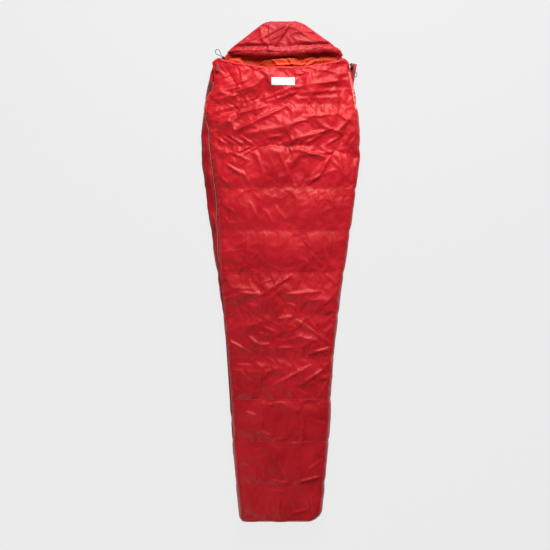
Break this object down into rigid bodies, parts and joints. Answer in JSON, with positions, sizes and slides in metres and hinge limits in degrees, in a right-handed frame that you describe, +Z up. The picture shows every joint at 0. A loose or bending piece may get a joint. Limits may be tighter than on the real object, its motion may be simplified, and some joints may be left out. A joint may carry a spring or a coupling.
{
  "type": "mummy sleeping bag",
  "caption": "Tapered quilted sleeping bag with a hood, a side zip, a turn-back top corner and cord locks at hood and neck.",
  "frame": {"origin": "on the floor under the middle of the bag's box, as the bag lies on its back", "axes": "+Y along the bag towards the hood, +Z up out of the floor, +X to the sleeper's left, away from the zip"},
  "size_m": [0.6882, 2.155, 0.0808],
  "materials": {
    "red_shell": "thin ripstop nylon, light sheen",
    "red_binding": "folded nylon binding",
    "white_insulation": "soft synthetic fill",
    "orange_lining": "brushed polyester taffeta",
    "dark_tape": "woven zip tape",
    "dark_nylon_coil": "nylon coil",
    "tan_piping": "stiff woven edging",
    "black_metal": "black enamelled zinc",
    "orange_strip": "woven strip with plain dashes",
    "red_webbing": "flat webbing",
    "white_patch": "blank woven label",
    "black_webbing": "hook and loop tape and cord guides",
    "elastic_cord": "braided elastic cord",
    "spring_steel": "wire",
    "black_plastic": "moulded acetal"
  },
  "bodies": {
    "base": {"base_shell": "red_shell", "base_insulation": "white_insulation", "base_lining": "orange_lining", "foot_box_shell": "red_shell", "foot_box_insulation": "white_insulation", "foot_box_lining": "orange_lining", "top_fixed_shell": "red_shell", "top_fixed_insulation": "white_insulation", "top_fixed_lining": "orange_lining", "neck_binding_fixed": "red_binding", "zip_tape_lower": "dark_tape", "zip_tape_joined": "dark_tape", "zip_coil_lower": "dark_nylon_coil", "zip_coil_joined": "dark_nylon_coil", "zip_bottom_stop": "dark_nylon_coil", "zip_top_stop": "dark_nylon_coil", "zip_piping": "tan_piping", "zip_draft_tube": "orange_lining", "side_strip": "orange_strip", "neck_webbing_tab": "red_webbing", "neck_cord_guide": "black_webbing", "neck_cord_loop": "elastic_cord"},
    "flap": {"top_flap_shell": "red_shell", "top_flap_insulation": "white_insulation", "top_flap_lining": "orange_lining", "neck_binding_flap": "red_binding", "neck_collar": "orange_lining", "zip_tape_upper": "dark_tape", "zip_coil_upper": "dark_nylon_coil", "chest_patch": "white_patch", "loop_patch": "black_webbing"},
    "hood": {"hood_back_shell": "red_shell", "hood_back_insulation": "white_insulation", "hood_back_lining": "orange_lining", "hood_front_shell": "red_shell", "hood_front_insulation": "white_insulation", "hood_front_lining": "orange_lining", "hood_brim": "red_shell", "hood_brim_padding": "white_insulation", "hood_drawcord": "elastic_cord", "hood_cord_guide": "black_webbing", "hood_cord_loop": "elastic_cord"},
    "closure_tab": {"closure_tab": "black_webbing"},
    "zip_slider": {"zip_slider": "black_metal"},
    "zip_puller": {"zip_puller": "black_metal"},
    "hood_lock": {"hood_cord_lock": "black_plastic", "hood_cord_lock_spring": "spring_steel"},
    "hood_lock_button": {"hood_cord_lock_button": "black_plastic"},
    "neck_lock": {"neck_cord_lock": "black_plastic", "neck_cord_lock_spring": "spring_steel"},
    "neck_lock_button": {"neck_cord_lock_button": "black_plastic"}
  },
  "joints": [
    {"name": "flap_fold", "type": "hinge", "parent": "base", "child": "flap", "pos_m": [-0.192, -0.65, 0.082], "axis": [0.2709, 0.9626, 0], "range_deg": [0, 150]},
    {"name": "hood_lift", "type": "hinge", "parent": "base", "child": "hood", "pos_m": [0, 0.9, 0.08], "axis": [1, 0, 0], "range_deg": [0, 60]},
    {"name": "closure_tab_peel", "type": "hinge", "parent": "flap", "child": "closure_tab", "pos_m": [-0.269, 0.857, 0.0626], "axis": [1, 0, 0], "range_deg": [0, 140]},
    {"name": "zip_run", "type": "slide", "parent": "base", "child": "zip_slider", "axis": [0.0672, -0.9977, 0], "range_m": [0, 1.375]},
    {"name": "puller_swing", "type": "hinge", "parent": "zip_slider", "child": "zip_puller", "pos_m": [-0.29726, 0.79902, 0.0427], "axis": [-0.9977, -0.0672, 0], "range_deg": [0, 165]},
    {"name": "hood_lock_slide", "type": "slide", "parent": "hood", "child": "hood_lock", "axis": [-0.7071, 0.7071, 0], "range_m": [0, 0.01]},
    {"name": "hood_button_press", "type": "slide", "parent": "hood_lock", "child": "hood_lock_button", "axis": [0, 0, -1], "range_m": [0, 0.0025], "stiffness_N_per_m": 600, "springref_m": -0.001, "deforming": ["hood_cord_lock_spring"]},
    {"name": "neck_lock_slide", "type": "slide", "parent": "base", "child": "neck_lock", "axis": [0.342, -0.9397, 0], "range_m": [0, 0.01]},
    {"name": "neck_button_press", "type": "slide", "parent": "neck_lock", "child": "neck_lock_button", "axis": [0, 0, -1], "range_m": [0, 0.0025], "stiffness_N_per_m": 600, "springref_m": -0.001, "deforming": ["neck_cord_lock_spring"]}
  ]
}
